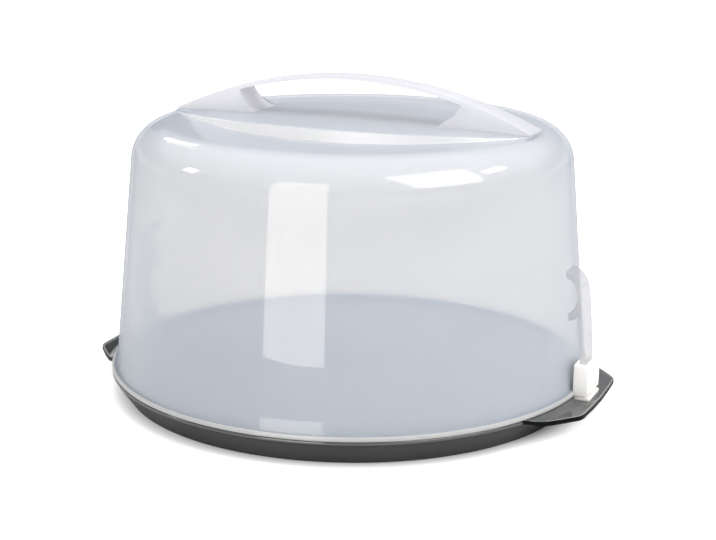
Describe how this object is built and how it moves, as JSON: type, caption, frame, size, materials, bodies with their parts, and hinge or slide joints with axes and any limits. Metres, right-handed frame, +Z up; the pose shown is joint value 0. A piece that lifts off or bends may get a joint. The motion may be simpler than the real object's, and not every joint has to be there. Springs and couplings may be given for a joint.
{
  "type": "cake carrier",
  "caption": "Round cake carrier: shallow tray with two ears, translucent domed lid with arched carry handle, lid arms held in hinged sockets so the lid tips open sideways",
  "frame": {"origin": "centre of the tray's underside, on the table", "axes": "+Z up; the carry handle and the two ears run along X; the hinge the picture shows is at +X; the front is -Y"},
  "size_m": [0.3586, 0.33, 0.2153],
  "materials": {
    "tray": "dark grey, metallic sheen",
    "hinge": "smooth white",
    "pin": "plain",
    "lid": "clear, slightly milky, glossy"
  },
  "bodies": {
    "base": {"tray": "tray", "hinge_foot_right": "hinge", "hinge_foot_left": "hinge", "hinge_pin_left": "pin", "arm_socket_left": "hinge"},
    "lid": {"dome_shell": "lid", "carry_handle": "lid", "lid_arm_right": "lid", "lid_arm_left": "lid", "arm_socket_right": "hinge", "hinge_pin_right": "pin"}
  },
  "joints": [
    {"name": "lid_hinge", "type": "hinge", "parent": "base", "child": "lid", "pos_m": [0.1714, 0, 0.0202], "axis": [0, 1, 0], "range_deg": [0, 107]}
  ]
}
